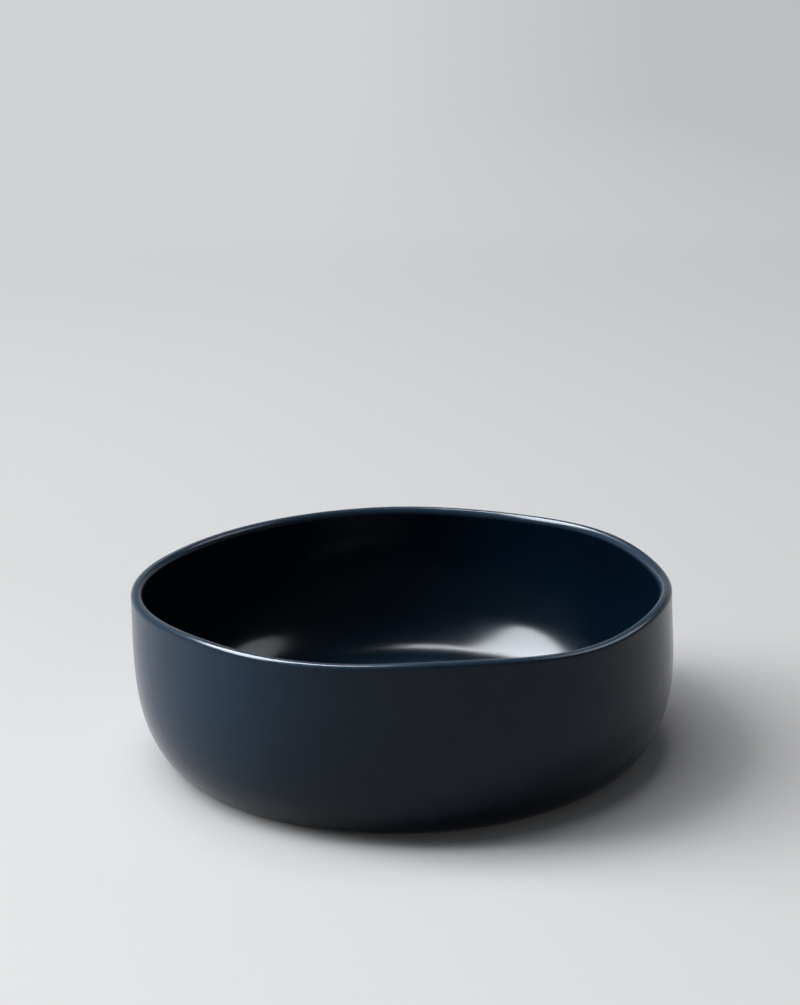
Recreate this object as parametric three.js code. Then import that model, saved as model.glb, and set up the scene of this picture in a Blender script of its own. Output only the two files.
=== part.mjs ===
// A glazed stoneware serving bowl: a wide round bowl with a broad foot, deep rounded shoulders, a nearly
// upright wall and a soft, hand-shaped lip that leans and rises a little as it goes round.
// Millimetres, +Z up. The origin is the centre of the circle that the foot stands on.

import * as THREE from "three";

// The finished outside, glaze included.
const BOWL_RADIUS = 125;
const BOWL_HEIGHT = 79.5;
const FOOT_RADIUS = 106.5; // the ring that meets the table
const SHOULDER_HEIGHT = 48; // the wall turns upright here
const SHOULDER_SPREAD = 1.53; // how squarely the shoulder leaves the foot: 2 is an ellipse
const SHOULDER_RISE = 2.5; // how squarely it joins the wall: 2 is an ellipse
const LIP_DRAW_IN = 0.8; // the wall leans in this much between shoulder and lip

// The finished inside: a level floor, a round heel, and a slow curve up to the upright wall.
const FLOOR_THICKNESS = 4.6; // over the recess under the bowl, glaze included
const HEEL_RADIUS = 33;
const HEEL_TILT = 65.5; // in degrees from level, where the heel passes into the wall
const INSIDE_UPRIGHT_DROP = 12.5; // the inside is upright from this far below the lip

// The lip, in section: a small round outside, a narrow level top, and a taller and softer round inside.
const LIP_THICKNESS = 5.6;
const LIP_TOP_WIDTH = 1.2;
const LIP_OUTSIDE_WIDTH = 2;
const LIP_OUTSIDE_DROP = 2;
const LIP_INSIDE_DROP = 3.8;

// The foot: a turned ring of bare clay under the bowl.
const FOOT_HEIGHT = 3.4;
const FOOT_WIDTH = 8.5;
const FOOT_EDGE_RADIUS = 0.5;
const BARE_EDGE_HEIGHT = 0.8; // clay left bare above the table, before the glaze starts

const GLAZE_THICKNESS = 0.4;
const RECESS_MARGIN = 1.5; // clay left bare round the glazed patch under the bowl

// The lip's hand-shaped line: so many waves round the bowl, how far they push the lip out and up, and the
// directions of the first crest of each, in degrees from +X. One wave is a plain tilt.
const LIP_WAVES = [
  { waves: 1, out: 0, outCrest: 0, up: 2, upCrest: -173 },
  { waves: 2, out: 1.7, outCrest: 53, up: 0.9, upCrest: 61 },
  { waves: 3, out: 0.5, outCrest: -30, up: 0.5, upCrest: 15 },
  { waves: 4, out: 0.4, outCrest: -18, up: 0.2, upCrest: 0 },
  { waves: 5, out: 0.5, outCrest: -36, up: 0.2, upCrest: -23 },
  { waves: 6, out: 0.3, outCrest: 5, up: 0.4, upCrest: -20 },
  { waves: 7, out: 0.3, outCrest: -9, up: 0.3, upCrest: -24 },
];
const WAVE_START_HEIGHT = 22; // below this the bowl is truly round

const SEGMENTS = 64;
const SHOULDER_STEPS = 8;
const HEEL_STEPS = 6;
const WALL_STEPS = 3;
const LIP_STEPS = 3;
const EDGE_STEPS = 3;

const point = (r, z) => new THREE.Vector2(r, z);

// A quarter of a superellipse from a flat base at (fromR, fromZ) up to an upright wall at (toR, toZ).
function shoulder(fromR, fromZ, toR, toZ, spread, rise) {
  const points = [];
  for (let i = 0; i <= SHOULDER_STEPS; i++) {
    const turn = ((i / SHOULDER_STEPS) * Math.PI) / 2;
    points.push(
      point(
        fromR + (toR - fromR) * Math.sin(turn) ** (2 / spread),
        fromZ + (toZ - fromZ) * (1 - Math.cos(turn) ** (2 / rise)),
      ),
    );
  }
  return points;
}

// The wall above its shoulder, easing from one radius to another on the way up to the lip's round.
function upright(fromR, fromZ, toR, toZ) {
  const points = [];
  for (let i = 1; i <= WALL_STEPS; i++) {
    const up = i / WALL_STEPS;
    const eased = THREE.MathUtils.smoothstep(up, 0, 1);
    points.push(point(fromR + (toR - fromR) * eased, fromZ + (toZ - fromZ) * up));
  }
  return points;
}

// A stretch of an upright ellipse.
function arc(centre, halfWidth, halfHeight, fromDegrees, toDegrees, steps) {
  const points = [];
  for (let i = 0; i <= steps; i++) {
    const turn = THREE.MathUtils.degToRad(fromDegrees + ((toDegrees - fromDegrees) * i) / steps);
    points.push(point(centre.x + halfWidth * Math.cos(turn), centre.y + halfHeight * Math.sin(turn)));
  }
  return points;
}

// The inside from the level floor up to the upright wall at (toR, toZ): the heel's arc, and then a wider one.
function heelAndWall(floorZ, toR, toZ) {
  const tilt = THREE.MathUtils.degToRad(HEEL_TILT);
  const heelTop = floorZ + HEEL_RADIUS * (1 - Math.cos(tilt));
  const wallRadius = (toZ - heelTop) / Math.cos(tilt);
  const heelEdge = toR - wallRadius * (1 - Math.sin(tilt));
  const heelCentre = point(heelEdge - HEEL_RADIUS * Math.sin(tilt), floorZ + HEEL_RADIUS);
  const wallCentre = point(toR - wallRadius, toZ);
  return [
    ...arc(heelCentre, HEEL_RADIUS, HEEL_RADIUS, -90, HEEL_TILT - 90, HEEL_STEPS),
    ...arc(wallCentre, wallRadius, wallRadius, HEEL_TILT - 90, 0, WALL_STEPS).slice(1),
  ];
}

// A quarter circle about (r, z).
function corner(r, z, radius, fromDegrees) {
  return arc(point(r, z), radius, radius, fromDegrees, fromDegrees + 90, EDGE_STEPS);
}

// Moves a line of points to its left or, with a negative distance, to its right.
function offset(points, distance) {
  return points.map((p, i) => {
    const before = points[Math.max(i - 1, 0)];
    const after = points[Math.min(i + 1, points.length - 1)];
    const along = point(after.x - before.x, after.y - before.y).normalize();
    return point(p.x - along.y * distance, p.y + along.x * distance);
  });
}

// The finished surface, from the glaze's lower edge on the foot, up the outside, over the lip, down the
// inside and across the floor to the axis.
function finishedLine() {
  const lipOutside = BOWL_RADIUS - LIP_DRAW_IN;
  const lipInside = lipOutside - LIP_THICKNESS;
  const topOutside = lipOutside - LIP_OUTSIDE_WIDTH;
  const topInside = topOutside - LIP_TOP_WIDTH;
  const insideUprightZ = BOWL_HEIGHT - INSIDE_UPRIGHT_DROP;
  const floorZ = FOOT_HEIGHT + FLOOR_THICKNESS;
  const outside = shoulder(
    FOOT_RADIUS, BARE_EDGE_HEIGHT, BOWL_RADIUS, SHOULDER_HEIGHT, SHOULDER_SPREAD, SHOULDER_RISE,
  );
  const outsideWall = upright(BOWL_RADIUS, SHOULDER_HEIGHT, lipOutside, BOWL_HEIGHT - LIP_OUTSIDE_DROP);
  const outerCentre = point(topOutside, BOWL_HEIGHT - LIP_OUTSIDE_DROP);
  const innerCentre = point(topInside, BOWL_HEIGHT - LIP_INSIDE_DROP);
  const outerRound = arc(outerCentre, LIP_OUTSIDE_WIDTH, LIP_OUTSIDE_DROP, 0, 90, LIP_STEPS);
  const innerRound = arc(innerCentre, topInside - lipInside, LIP_INSIDE_DROP, 90, 180, LIP_STEPS);
  const inside = heelAndWall(floorZ, lipInside, insideUprightZ);
  return [
    ...outside,
    ...outsideWall,
    ...outerRound.slice(1),
    ...innerRound,
    ...inside.reverse(),
    point(0, floorZ),
  ];
}

// The clay under the glaze, with a point of its own at the height where the ring joins the bowl.
function clayLine(finished) {
  const clay = offset(finished, GLAZE_THICKNESS);
  clay[0].x = FOOT_RADIUS;
  clay[clay.length - 1].x = 0;
  const next = clay.findIndex((p) => p.y > FOOT_HEIGHT);
  const [below, above] = [clay[next - 1], clay[next]];
  const share = (FOOT_HEIGHT - below.y) / (above.y - below.y);
  clay.splice(next, 0, point(below.x + share * (above.x - below.x), FOOT_HEIGHT));
  return { clay, joint: next };
}

// Lets the lip wander: the upper wall leans out and rises with the waves, more and more towards the lip.
function waved(geometry) {
  const place = geometry.getAttribute("position");
  for (let i = 0; i < place.count; i++) {
    const [x, y, z] = [place.getX(i), place.getY(i), place.getZ(i)];
    const share = THREE.MathUtils.smoothstep(z, WAVE_START_HEIGHT, BOWL_HEIGHT);
    if (share === 0) continue;
    const around = THREE.MathUtils.radToDeg(Math.atan2(y, x));
    let out = 0;
    let up = 0;
    for (const wave of LIP_WAVES) {
      out += wave.out * Math.cos(THREE.MathUtils.degToRad(wave.waves * (around - wave.outCrest)));
      up += wave.up * Math.cos(THREE.MathUtils.degToRad(wave.waves * (around - wave.upCrest)));
    }
    const grown = 1 + (share * out) / Math.hypot(x, y);
    place.setXYZ(i, x * grown, y * grown, z + share * up);
  }
  geometry.computeVertexNormals();
  return geometry;
}

// Turns an outline, listed anticlockwise in (radius, height), about the upright axis. Whichever way the
// outline runs, a four-sided facet is cut along the same diagonal, so that the glaze fits the clay under it.
function turned(name, outline, material) {
  const geometry = new THREE.LatheGeometry(outline, SEGMENTS).rotateX(Math.PI / 2);
  const facets = [];
  for (let turn = 0; turn < SEGMENTS; turn++) {
    for (let i = 0; i < outline.length - 1; i++) {
      const a = turn * outline.length + i;
      const b = a + outline.length;
      const [c, d] = [b + 1, a + 1];
      const rise = outline[i + 1].y - outline[i].y || outline[i + 1].x - outline[i].x;
      facets.push(...(rise > 0 ? [a, b, d, c, d, b] : [a, b, c, c, d, a]));
    }
  }
  geometry.setIndex(facets);
  const mesh = new THREE.Mesh(waved(geometry), material);
  mesh.name = name;
  return mesh;
}

const finished = finishedLine();
const { clay, joint } = clayLine(finished);
const ringInside = FOOT_RADIUS - FOOT_WIDTH;

// The bowl itself: floor, wall and lip, shaped in one from stoneware.
const wallOutline = [point(0, FOOT_HEIGHT), ...clay.slice(joint)];

// The ring it stands on, luted under the floor. Its outer side carries on the line of the wall.
const ringOutline = [
  point(ringInside, FOOT_HEIGHT),
  ...corner(ringInside + FOOT_EDGE_RADIUS, FOOT_EDGE_RADIUS, FOOT_EDGE_RADIUS, 180),
  ...corner(FOOT_RADIUS - FOOT_EDGE_RADIUS, FOOT_EDGE_RADIUS, FOOT_EDGE_RADIUS, 270),
  ...clay.slice(0, joint + 1),
  point(ringInside, FOOT_HEIGHT),
];

// The navy glaze: one coat over the inside, the lip and the outside, stopping just above the table.
const glazeOutline = [...clay.slice().reverse(), ...finished];

// The glazed patch under the bowl, inside the ring.
const recessRadius = ringInside - RECESS_MARGIN;
const recessZ = FOOT_HEIGHT - GLAZE_THICKNESS;
const recessOutline = [
  point(0, recessZ),
  ...corner(recessRadius - GLAZE_THICKNESS, FOOT_HEIGHT, GLAZE_THICKNESS, 270),
  point(0, FOOT_HEIGHT),
];

const stoneware = new THREE.MeshStandardMaterial({ color: 0xb9aea0, roughness: 0.9, metalness: 0 });
const navyGlaze = new THREE.MeshStandardMaterial({ color: 0x0e2438, roughness: 0.32, metalness: 0 });

const bowl = new THREE.Group();
bowl.name = "serving_bowl";
bowl.add(
  turned("bowl_wall", wallOutline, stoneware),
  turned("foot_ring", ringOutline, stoneware),
  turned("glaze_coat", glazeOutline, navyGlaze),
  turned("recess_glaze", recessOutline, navyGlaze),
);

export default bowl;
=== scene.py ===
import math

import bpy
from mathutils import Matrix, Vector


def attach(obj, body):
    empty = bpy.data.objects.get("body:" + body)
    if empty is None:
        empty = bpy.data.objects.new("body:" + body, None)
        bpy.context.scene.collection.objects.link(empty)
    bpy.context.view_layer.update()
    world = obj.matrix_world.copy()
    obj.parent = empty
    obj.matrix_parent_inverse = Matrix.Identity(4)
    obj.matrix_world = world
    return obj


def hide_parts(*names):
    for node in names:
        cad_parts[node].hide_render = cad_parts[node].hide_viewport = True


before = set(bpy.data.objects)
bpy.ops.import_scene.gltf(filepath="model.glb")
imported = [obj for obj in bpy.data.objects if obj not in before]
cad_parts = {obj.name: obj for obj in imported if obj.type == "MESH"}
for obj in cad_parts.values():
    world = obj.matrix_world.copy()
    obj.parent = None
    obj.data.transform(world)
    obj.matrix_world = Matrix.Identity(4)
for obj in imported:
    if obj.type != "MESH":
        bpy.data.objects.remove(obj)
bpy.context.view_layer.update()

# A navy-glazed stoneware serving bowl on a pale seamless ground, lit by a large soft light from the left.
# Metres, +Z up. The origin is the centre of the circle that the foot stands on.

MM = 0.001

# The finished outside, glaze included.
BOWL_RADIUS = 125 * MM
BOWL_HEIGHT = 79.5 * MM
FOOT_RADIUS = 106.5 * MM
SHOULDER_HEIGHT = 48 * MM
SHOULDER_SPREAD = 1.53
SHOULDER_RISE = 2.5
LIP_DRAW_IN = 0.8 * MM

# The finished inside: a level floor, a round heel, and a slow curve up to the upright wall.
FLOOR_THICKNESS = 4.6 * MM
HEEL_RADIUS = 33 * MM
HEEL_TILT = 65.5
INSIDE_UPRIGHT_DROP = 12.5 * MM

# The lip in section: a small round outside, a narrow level top, a taller and softer round inside.
LIP_THICKNESS = 5.6 * MM
LIP_TOP_WIDTH = 1.2 * MM
LIP_OUTSIDE_WIDTH = 2.0 * MM
LIP_OUTSIDE_DROP = 2.0 * MM
LIP_INSIDE_DROP = 3.8 * MM

# The foot and the glaze.
FOOT_HEIGHT = 3.4 * MM
FOOT_WIDTH = 8.5 * MM
FOOT_EDGE_RADIUS = 0.5 * MM
BARE_EDGE_HEIGHT = 0.8 * MM
GLAZE_THICKNESS = 0.4 * MM
RECESS_MARGIN = 1.5 * MM

# The lip's hand-shaped line: waves round the bowl, out, direction of its crest, up, direction of its crest.
LIP_WAVES = [
    (1, 0.0, 0, 2.0, -173),
    (2, 1.7, 53, 0.9, 61),
    (3, 0.5, -30, 0.5, 15),
    (4, 0.4, -18, 0.2, 0),
    (5, 0.5, -36, 0.2, -23),
    (6, 0.3, 5, 0.4, -20),
    (7, 0.3, -9, 0.3, -24),
]
WAVE_START_HEIGHT = 22 * MM

# How finely the outlines are drawn and turned.
SEGMENTS = 384
SHOULDER_STEPS = 32
HEEL_STEPS = 18
WALL_STEPS = 12
LIP_STEPS = 20
EDGE_STEPS = 6
AXIS_RADIUS = 1e-7

# The glaze. Each pair of colours is for the low and the high values of its clouds. A facing is one where the
# surface looks straight out, nought where it looks up or down, and minus one where it looks straight in.
# The inside colours are darker than the outside ones: painted shade inside the bowl, blended in where the
# surface faces in.
INSIDE_SHADED_COLOURS = ((0.0009, 0.0055, 0.0130), (0.0014, 0.0080, 0.0180))
OUTSIDE_COLOURS = ((0.017, 0.040, 0.076), (0.026, 0.059, 0.112))
THIN_COLOUR = (0.022, 0.047, 0.080)
OUTSIDE_FACINGS = (-0.3, 0.5)
THIN_HEIGHTS = (BOWL_HEIGHT - 3.4 * MM, BOWL_HEIGHT - 1.4 * MM)
GLAZE_ROUGHNESS = (0.180, 0.205)
GLAZE_IOR = 1.5
GLAZE_SPECULAR = 0.2

# Noises: scale, detail, roughness. Bumps are in metres.
NOISE_RANGE = (0.3, 0.7)
CLOUDS = (14, 4, 0.5)
GLOSS_NOISE = (60, 3, 0.5)
RIPPLE_NOISE, RIPPLE_BUMP = (45, 2, 0.5), 0.00004
FINE_NOISE, FINE_BUMP = (900, 3, 0.5), 0.000006

# The bare clay.
CLAY_COLOURS = ((0.50, 0.45, 0.40), (0.74, 0.68, 0.61))
GRIT_RANGE = (0.35, 0.6)
GRIT_NOISE, GRIT_BUMP = (1400, 4, 0.7), 0.00012
CLAY_ROUGHNESS = 0.92

# The camera, fitted to the bowl's outline in the photograph. The sensor's long side is the picture's height.
PICTURE_HEIGHT = 1005
FOCAL_PIXELS = 1800
SENSOR_SIZE = 36
CAMERA_PLACE = Vector((0, -0.7978, 0.3301))
CAMERA_PITCH = math.radians(-15.08)
CAMERA_ROLL = math.radians(-1.227)
CAMERA_YAW = math.radians(-0.038)


def shoulder(from_r, from_z, to_r, to_z, spread, rise):
    """A quarter of a superellipse from a flat base up to an upright wall."""
    points = []
    for i in range(SHOULDER_STEPS + 1):
        turn = i / SHOULDER_STEPS * math.pi / 2
        r = from_r + (to_r - from_r) * math.sin(turn) ** (2 / spread)
        z = from_z + (to_z - from_z) * (1 - max(math.cos(turn), 0) ** (2 / rise))
        points.append((r, z))
    return points


def outside_wall(from_r, from_z, to_r, to_z):
    """The wall above its shoulder, easing from one radius to another on the way up to the lip's round."""
    points = []
    for i in range(1, WALL_STEPS + 1):
        up = i / WALL_STEPS
        r = from_r + (to_r - from_r) * up * up * (3 - 2 * up)
        points.append((r, from_z + (to_z - from_z) * up))
    return points


def arc(centre, half_width, half_height, from_degrees, to_degrees, steps):
    """A stretch of an upright ellipse."""
    points = []
    for i in range(steps + 1):
        turn = math.radians(from_degrees + (to_degrees - from_degrees) * i / steps)
        points.append((centre[0] + half_width * math.cos(turn), centre[1] + half_height * math.sin(turn)))
    return points


def heel_and_wall(floor_z, to_r, to_z):
    """The inside from the level floor up to the upright wall: the heel's arc, and then a wider one."""
    tilt = math.radians(HEEL_TILT)
    heel_top = floor_z + HEEL_RADIUS * (1 - math.cos(tilt))
    wall_radius = (to_z - heel_top) / math.cos(tilt)
    heel_edge = to_r - wall_radius * (1 - math.sin(tilt))
    heel_centre = (heel_edge - HEEL_RADIUS * math.sin(tilt), floor_z + HEEL_RADIUS)
    heel = arc(heel_centre, HEEL_RADIUS, HEEL_RADIUS, -90, HEEL_TILT - 90, HEEL_STEPS)
    wall = arc((to_r - wall_radius, to_z), wall_radius, wall_radius, HEEL_TILT - 90, 0, WALL_STEPS)
    return heel + wall[1:]


def corner(r, z, radius, from_degrees):
    """A quarter circle about (r, z)."""
    return arc((r, z), radius, radius, from_degrees, from_degrees + 90, EDGE_STEPS)


def offset(points, distance):
    """Moves a line of points to its left."""
    moved = []
    for i, (r, z) in enumerate(points):
        before, after = points[max(i - 1, 0)], points[min(i + 1, len(points) - 1)]
        along = Vector((after[0] - before[0], after[1] - before[1])).normalized()
        moved.append((r - along.y * distance, z + along.x * distance))
    return moved


def finished_line():
    """The finished surface, from the glaze's lower edge over the lip to the middle of the floor."""
    lip_outside = BOWL_RADIUS - LIP_DRAW_IN
    lip_inside = lip_outside - LIP_THICKNESS
    top_outside = lip_outside - LIP_OUTSIDE_WIDTH
    top_inside = top_outside - LIP_TOP_WIDTH
    outer_z = BOWL_HEIGHT - LIP_OUTSIDE_DROP
    inner_z = BOWL_HEIGHT - LIP_INSIDE_DROP
    upright_z = BOWL_HEIGHT - INSIDE_UPRIGHT_DROP
    floor_z = FOOT_HEIGHT + FLOOR_THICKNESS
    outside = shoulder(
        FOOT_RADIUS, BARE_EDGE_HEIGHT, BOWL_RADIUS, SHOULDER_HEIGHT, SHOULDER_SPREAD, SHOULDER_RISE
    )
    outside += outside_wall(BOWL_RADIUS, SHOULDER_HEIGHT, lip_outside, outer_z)
    outer_round = arc((top_outside, outer_z), LIP_OUTSIDE_WIDTH, LIP_OUTSIDE_DROP, 0, 90, LIP_STEPS)[1:]
    inner_round = arc((top_inside, inner_z), top_inside - lip_inside, LIP_INSIDE_DROP, 90, 180, LIP_STEPS)
    inside = heel_and_wall(floor_z, lip_inside, upright_z)[::-1]
    return outside + outer_round + inner_round + inside + [(0, floor_z)]


def clay_line(finished):
    """The clay under the glaze, and the number of its point where the ring joins the bowl."""
    clay = offset(finished, GLAZE_THICKNESS)
    clay[0] = (FOOT_RADIUS, clay[0][1])
    clay[-1] = (0, clay[-1][1])
    joint = next(i for i, p in enumerate(clay) if p[1] > FOOT_HEIGHT)
    below, above = clay[joint - 1], clay[joint]
    share = (FOOT_HEIGHT - below[1]) / (above[1] - below[1])
    clay.insert(joint, (below[0] + share * (above[0] - below[0]), FOOT_HEIGHT))
    return clay, joint


def wander(around, z):
    """How far the hand-shaped lip moves a point at that direction and height, out and up."""
    share = min(max((z - WAVE_START_HEIGHT) / (BOWL_HEIGHT - WAVE_START_HEIGHT), 0), 1)
    share = share * share * (3 - 2 * share)
    out = sum(o * math.cos(n * (around - math.radians(crest))) for n, o, crest, _, _ in LIP_WAVES)
    up = sum(u * math.cos(n * (around - math.radians(crest))) for n, _, _, u, crest in LIP_WAVES)
    return share * out * MM, share * up * MM


def turned(name, outline):
    """Turns an outline, listed anticlockwise in (radius, height), about the upright axis. Each vertex keeps
    the height and the facing of its place on the outline, for the glaze."""
    closed = outline[0] == outline[-1]
    line = outline[:-1] if closed else outline
    vertices, rings, heights, facings = [], [], [], []
    for place, (r, z) in enumerate(line):
        before, after = line[max(place - 1, 0)], line[min(place + 1, len(line) - 1)]
        facing = (after[1] - before[1]) / math.dist(before, after)
        if r < AXIS_RADIUS:
            rings.append([len(vertices)] * SEGMENTS)
            vertices.append((0, 0, z))
            heights.append(z)
            facings.append(facing)
            continue
        rings.append(range(len(vertices), len(vertices) + SEGMENTS))
        heights += [z] * SEGMENTS
        facings += [facing] * SEGMENTS
        for i in range(SEGMENTS):
            around = 2 * math.pi * i / SEGMENTS
            out, up = wander(around, z)
            vertices.append(((r + out) * math.cos(around), (r + out) * math.sin(around), z + up))
    pairs = list(zip(rings, rings[1:]))
    if closed:
        pairs.append((rings[-1], rings[0]))
    faces = []
    for lower, upper in pairs:
        for i in range(SEGMENTS):
            j = (i + 1) % SEGMENTS
            corners = [lower[i], lower[j], upper[j], upper[i]]
            faces.append(list(dict.fromkeys(corners)))
    mesh = bpy.data.meshes.new(name)
    mesh.from_pydata(vertices, [], faces)
    mesh.attributes.new("profile_height", "FLOAT", "POINT").data.foreach_set("value", heights)
    mesh.attributes.new("facing_out", "FLOAT", "POINT").data.foreach_set("value", facings)
    mesh.shade_smooth()
    return placed(name, mesh)


def placed(name, data):
    """A new object of that mesh, lamp or camera, in the scene."""
    thing = bpy.data.objects.new(name, data)
    bpy.context.collection.objects.link(thing)
    return thing


def nodes_of(name):
    """A new node material and its shader."""
    material = bpy.data.materials.new(name)
    material.use_nodes = True
    return material, material.node_tree.nodes["Principled BSDF"]


def noise(tree, scale, detail, roughness):
    """A noise in the object's own space."""
    coordinates = tree.nodes.new("ShaderNodeTexCoord")
    texture = tree.nodes.new("ShaderNodeTexNoise")
    texture.inputs["Scale"].default_value = scale
    texture.inputs["Detail"].default_value = detail
    texture.inputs["Roughness"].default_value = roughness
    tree.links.new(coordinates.outputs["Object"], texture.inputs["Vector"])
    return texture.outputs["Fac"]


def ramp(tree, value, colours, places=NOISE_RANGE):
    """Maps a value to a blend of two colours, each full at its own place."""
    node = tree.nodes.new("ShaderNodeValToRGB")
    for stop, place, colour in zip(node.color_ramp.elements, places, colours):
        stop.position = place
        stop.color = (*colour, 1)
    tree.links.new(value, node.inputs["Fac"])
    return node.outputs["Color"]


def span(tree, value, low, high, from_low=NOISE_RANGE[0], from_high=NOISE_RANGE[1]):
    """Maps a value to a plain range."""
    node = tree.nodes.new("ShaderNodeMapRange")
    for key, number in (("From Min", from_low), ("From Max", from_high), ("To Min", low), ("To Max", high)):
        node.inputs[key].default_value = number
    tree.links.new(value, node.inputs["Value"])
    return node.outputs["Result"]


def bump(tree, shader, heights):
    """Chains bumps, listed as (height socket, distance in metres)."""
    normal = None
    for height, distance in heights:
        node = tree.nodes.new("ShaderNodeBump")
        node.inputs["Distance"].default_value = distance
        tree.links.new(height, node.inputs["Height"])
        if normal:
            tree.links.new(normal, node.inputs["Normal"])
        normal = node.outputs["Normal"]
    tree.links.new(normal, shader.inputs["Normal"])


def attribute(tree, name):
    """A number that the mesh keeps at each vertex."""
    node = tree.nodes.new("ShaderNodeAttribute")
    node.attribute_name = name
    return node.outputs["Fac"]


def blended(tree, factor, first, second):
    """Mixes two colours, each a socket or a plain colour."""
    node = tree.nodes.new("ShaderNodeMix")
    node.data_type = "RGBA"
    tree.links.new(factor, node.inputs["Factor"])
    for key, colour in (("A", first), ("B", second)):
        socket = next(s for s in node.inputs if s.name == key and s.type == "RGBA")
        if isinstance(colour, tuple):
            socket.default_value = (*colour, 1)
        else:
            tree.links.new(colour, socket)
    return next(s for s in node.outputs if s.type == "RGBA")


def math_node(tree, operation, first, second):
    """One number out of two sockets."""
    node = tree.nodes.new("ShaderNodeMath")
    node.operation = operation
    for socket, value in zip(node.inputs, (first, second)):
        tree.links.new(value, socket)
    return node.outputs["Value"]


def light_path(tree, *kinds):
    """One where the ray is of any of these kinds."""
    path = tree.nodes.new("ShaderNodeLightPath")
    total = path.outputs[kinds[0]]
    for kind in kinds[1:]:
        total = math_node(tree, "MAXIMUM", total, path.outputs[kind])
    return total


def glaze_material():
    """Satin navy glaze: deep blue with faint clouds, darker as painted shade where it faces into the bowl,
    thin and lighter along the lip's edge, and finely uneven."""
    material, shader = nodes_of("satin_navy_glaze")
    tree = material.node_tree
    clouds = noise(tree, *CLOUDS)
    # Painted shade: the inside colours are darker, blended by how far the surface faces out.
    inside = ramp(tree, clouds, INSIDE_SHADED_COLOURS)
    outside = ramp(tree, clouds, OUTSIDE_COLOURS)
    faces_out = span(tree, attribute(tree, "facing_out"), 0, 1, *OUTSIDE_FACINGS)
    body = blended(tree, faces_out, inside, outside)
    thin = span(tree, attribute(tree, "profile_height"), 0, 1, *THIN_HEIGHTS)
    tree.links.new(blended(tree, thin, body, THIN_COLOUR), shader.inputs["Base Color"])
    shader.inputs["IOR"].default_value = GLAZE_IOR
    shader.inputs["Specular IOR Level"].default_value = GLAZE_SPECULAR
    tree.links.new(span(tree, noise(tree, *GLOSS_NOISE), *GLAZE_ROUGHNESS), shader.inputs["Roughness"])
    ripple, fine = noise(tree, *RIPPLE_NOISE), noise(tree, *FINE_NOISE)
    bump(tree, shader, [(ripple, RIPPLE_BUMP), (fine, FINE_BUMP)])
    return material


def clay_material():
    """Bare fired clay: pale, matt and gritty."""
    material, shader = nodes_of("bare_fired_clay")
    tree = material.node_tree
    grit = noise(tree, *GRIT_NOISE)
    tree.links.new(ramp(tree, grit, CLAY_COLOURS, GRIT_RANGE), shader.inputs["Base Color"])
    shader.inputs["Roughness"].default_value = CLAY_ROUGHNESS
    bump(tree, shader, [(grit, GRIT_BUMP)])
    return material


def dress(piece, material, node):
    """Gives a piece its material and its place in the frame."""
    piece.data.materials.append(material)
    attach(piece, "root")
    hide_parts(node)


finished = finished_line()
clay, joint = clay_line(finished)
ring_inside = FOOT_RADIUS - FOOT_WIDTH

wall_outline = [(0, FOOT_HEIGHT)] + clay[joint:]
ring_outline = (
    [(ring_inside, FOOT_HEIGHT)]
    + corner(ring_inside + FOOT_EDGE_RADIUS, FOOT_EDGE_RADIUS, FOOT_EDGE_RADIUS, 180)
    + corner(FOOT_RADIUS - FOOT_EDGE_RADIUS, FOOT_EDGE_RADIUS, FOOT_EDGE_RADIUS, 270)
    + clay[: joint + 1]
    + [(ring_inside, FOOT_HEIGHT)]
)
glaze_outline = clay[::-1] + finished
recess_radius = ring_inside - RECESS_MARGIN
recess_outline = (
    [(0, FOOT_HEIGHT - GLAZE_THICKNESS)]
    + corner(recess_radius - GLAZE_THICKNESS, FOOT_HEIGHT, GLAZE_THICKNESS, 270)
    + [(0, FOOT_HEIGHT)]
)

glaze = glaze_material()
bare_clay = clay_material()
dress(turned("clay_body", wall_outline), bare_clay, "bowl_wall")
dress(turned("clay_foot", ring_outline), bare_clay, "foot_ring")
dress(turned("navy_glaze", glaze_outline), glaze, "glaze_coat")
dress(turned("navy_glaze_underside", recess_outline), glaze, "recess_glaze")


# The studio: one level pale floor whose far edge turns up all round, highest behind the bowl, with a tall
# soft light at the left and a weaker one overhead. Metres.
FLOOR_RADIUS = 6.0
RIM_ROUND = 0.5
RIM_HEIGHT = 0.6
BACKDROP_HEIGHT = 1.9

# The paper darkens evenly from one colour to the other along a level direction: painted light, lighter at
# the front left.
DARKENING = Vector((0.544, 0.839, 0))
PALE_SPAN = (-0.36, 0.1)
PALE_NEAR = (0.839, 0.849, 0.862)
PALE_AWAY = (0.704, 0.713, 0.725)
BOUNCE = (0.05, 0.05, 0.05)
PAPER_ROUGHNESS = 0.9

# Away from the bowl it passes into a glowing background, painted lighter at the left and darker at the
# right, from its colour at the left to that at the right.
FAR_FADE = (0.07, 2.1)
FAR_SPAN = (-0.14, 0.98)
FAR_LEFT = (0.631, 0.643, 0.655)
FAR_RIGHT = (0.505, 0.516, 0.526)

# What the glaze mirrors of the room, and what the room gives as light.
ROOM = (0.08, 0.078, 0.08)
FILL = (0.06, 0.06, 0.06)

# The lamps: azimuth from +X and elevation in degrees, distance, width, height, radiance, roll in degrees.
# The lights only light, and the shines are only seen mirrored in the glaze.
LIGHTS = {
    "key": (172.7, 39, 5.0, 2.33, 5.3, 7.25, 0),
    "overhead": (160, 80, 3.0, 2.0, 2.0, 2.6, 0),
}
SHINES = {
    "key_shine": (152.7, 55.9, 1.5, 1.85, 0.70, 26, 10.1),
    "back_shine": (101, 64, 1.5, 0.24, 0.46, 22, 0),
    "right_shine": (23.3, 43, 1.5, 1.12, 0.65, 3.4, 0),
}
SHINE_TINT = (0.96, 1.0, 1.06)


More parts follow.
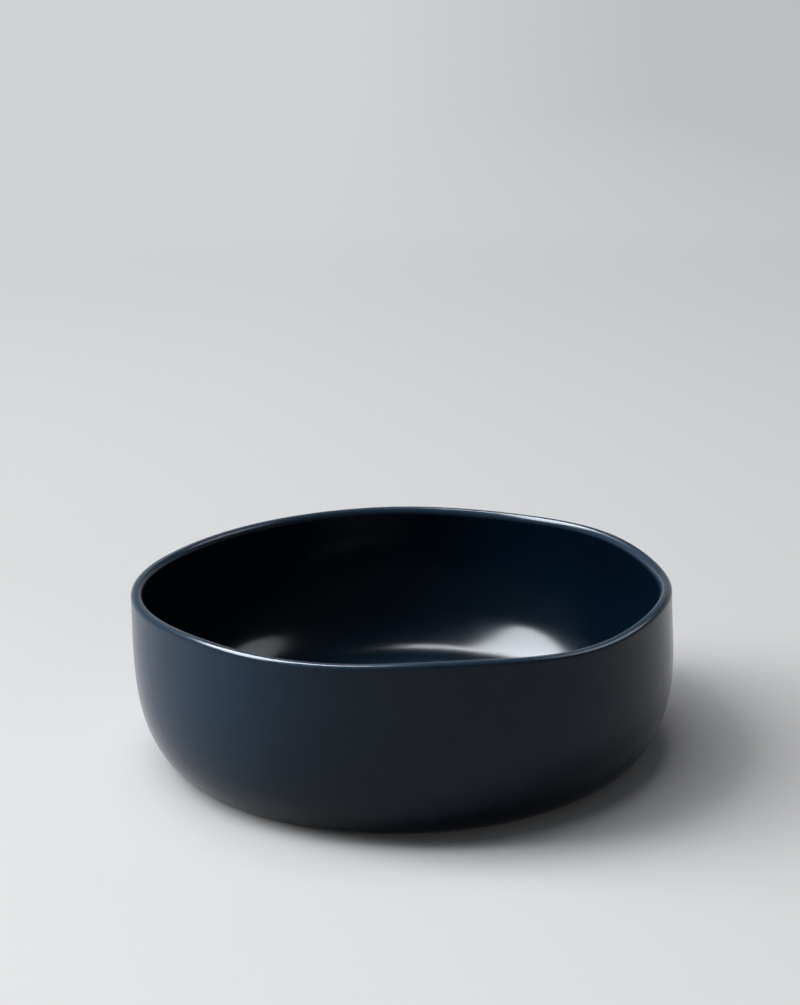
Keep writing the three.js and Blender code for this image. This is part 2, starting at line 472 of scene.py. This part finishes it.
def paper_material():
    """Matt pale paper, painted lighter at the front left. Away from the bowl it passes into a glowing pale
    background, painted lighter at the left.
    """
    material, shader = nodes_of("pale_grey_paper")
    tree = material.node_tree
    place = tree.nodes.new("ShaderNodeTexCoord").outputs["Object"]
    apart = tree.nodes.new("ShaderNodeSeparateXYZ")
    length = tree.nodes.new("ShaderNodeVectorMath")
    length.operation = "LENGTH"
    tree.links.new(place, apart.inputs["Vector"])
    tree.links.new(place, length.inputs[0])
    away = tree.nodes.new("ShaderNodeVectorMath")
    away.operation = "DOT_PRODUCT"
    away.inputs[1].default_value = DARKENING
    tree.links.new(place, away.inputs[0])
    # Painted light: the paper is lighter towards the front left and darker away from it.
    pale = blended(tree, span(tree, away.outputs["Value"], 0, 1, *PALE_SPAN), PALE_NEAR, PALE_AWAY)
    colour = blended(tree, light_path(tree, "Is Diffuse Ray"), pale, BOUNCE)
    tree.links.new(colour, shader.inputs["Base Color"])
    shader.inputs["Roughness"].default_value = PAPER_ROUGHNESS
    shader.inputs["Specular IOR Level"].default_value = 0.0
    shown = light_path(tree, "Is Camera Ray", "Is Glossy Ray", "Is Transmission Ray")
    far = span(tree, length.outputs["Value"], 0, 1, *FAR_FADE)
    glow = tree.nodes.new("ShaderNodeEmission")
    # Painted light: the glowing background is lighter at the left and darker at the right.
    sideways = span(tree, apart.outputs["X"], 0, 1, *FAR_SPAN)
    tree.links.new(blended(tree, sideways, FAR_LEFT, FAR_RIGHT), glow.inputs["Color"])
    mix = tree.nodes.new("ShaderNodeMixShader")
    tree.links.new(math_node(tree, "MULTIPLY", far, shown), mix.inputs["Fac"])
    tree.links.new(shader.outputs["BSDF"], mix.inputs[1])
    tree.links.new(glow.outputs["Emission"], mix.inputs[2])
    tree.links.new(mix.outputs["Shader"], tree.nodes["Material Output"].inputs["Surface"])
    return material


def floor():
    """A level disc whose edge turns up in a round and then stands as a rim, highest behind the bowl."""
    turn_up = arc((FLOOR_RADIUS - RIM_ROUND, RIM_ROUND), RIM_ROUND, RIM_ROUND, -90, 0, EDGE_STEPS)
    vertices = [(0, 0, 0)]
    faces = [(0, 1 + i, 1 + (i + 1) % SEGMENTS) for i in range(SEGMENTS)]
    for ring, (r, z) in enumerate(turn_up + [(FLOOR_RADIUS, RIM_HEIGHT)]):
        for i in range(SEGMENTS):
            around = 2 * math.pi * i / SEGMENTS
            if ring == len(turn_up):
                z = RIM_HEIGHT + (BACKDROP_HEIGHT - RIM_HEIGHT) * max(math.sin(around), 0)
            vertices.append((r * math.cos(around), r * math.sin(around), z))
            if ring:
                here, beside = 1 + ring * SEGMENTS + i, 1 + ring * SEGMENTS + (i + 1) % SEGMENTS
                faces.append((here - SEGMENTS, beside - SEGMENTS, beside, here))
    mesh = bpy.data.meshes.new("pale_floor")
    mesh.from_pydata(vertices, [], faces)
    mesh.materials.append(paper_material())
    piece = placed("pale_floor", mesh)


def softbox(name, azimuth, elevation, distance, width, height, radiance, roll, shine):
    """A soft light that faces the bowl, a rectangle for a light and an ellipse for a shine."""
    around, up, turn = math.radians(azimuth), math.radians(elevation), math.radians(roll)
    out = Vector((math.cos(up) * math.cos(around), math.cos(up) * math.sin(around), math.sin(up)))
    level = Vector((-math.sin(around), math.cos(around), 0))
    wide = level * math.cos(turn) - out.cross(level) * math.sin(turn)
    light = bpy.data.lights.new(name, "AREA")
    light.shape = "ELLIPSE" if shine else "RECTANGLE"
    light.size, light.size_y = width, height
    light.energy = radiance * math.pi * width * height
    light.color = SHINE_TINT if shine else (1, 1, 1)
    lamp = placed(name, light)
    lamp.location = out * distance
    lamp.rotation_euler = Matrix((wide, out.cross(wide), out)).transposed().to_euler()
    lamp.visible_camera = False
    lamp.visible_glossy = shine
    lamp.visible_diffuse = not shine


def studio():
    """The world's own light, and the lamps."""
    world = bpy.data.worlds.new("studio")
    world.use_nodes = True
    tree = world.node_tree
    colour = blended(tree, light_path(tree, "Is Diffuse Ray"), ROOM, FILL)
    tree.links.new(colour, tree.nodes["Background"].inputs["Color"])
    bpy.context.scene.world = world
    for name, numbers in LIGHTS.items():
        softbox(name, *numbers, shine=False)
    for name, numbers in SHINES.items():
        softbox(name, *numbers, shine=True)


def camera():
    """The photograph's camera."""
    data = bpy.data.cameras.new("camera")
    data.sensor_width = SENSOR_SIZE
    data.lens = FOCAL_PIXELS / PICTURE_HEIGHT * SENSOR_SIZE
    viewpoint = placed("camera", data)
    turn = (
        Matrix.Rotation(-CAMERA_YAW, 3, "Z")
        @ Matrix.Rotation(math.pi / 2 + CAMERA_PITCH, 3, "X")
        @ Matrix.Rotation(CAMERA_ROLL, 3, "Z")
    )
    viewpoint.rotation_euler = turn.to_euler()
    viewpoint.location = CAMERA_PLACE
    bpy.context.scene.camera = viewpoint


floor()
studio()
camera()
bpy.context.scene.view_settings.view_transform = "Standard"
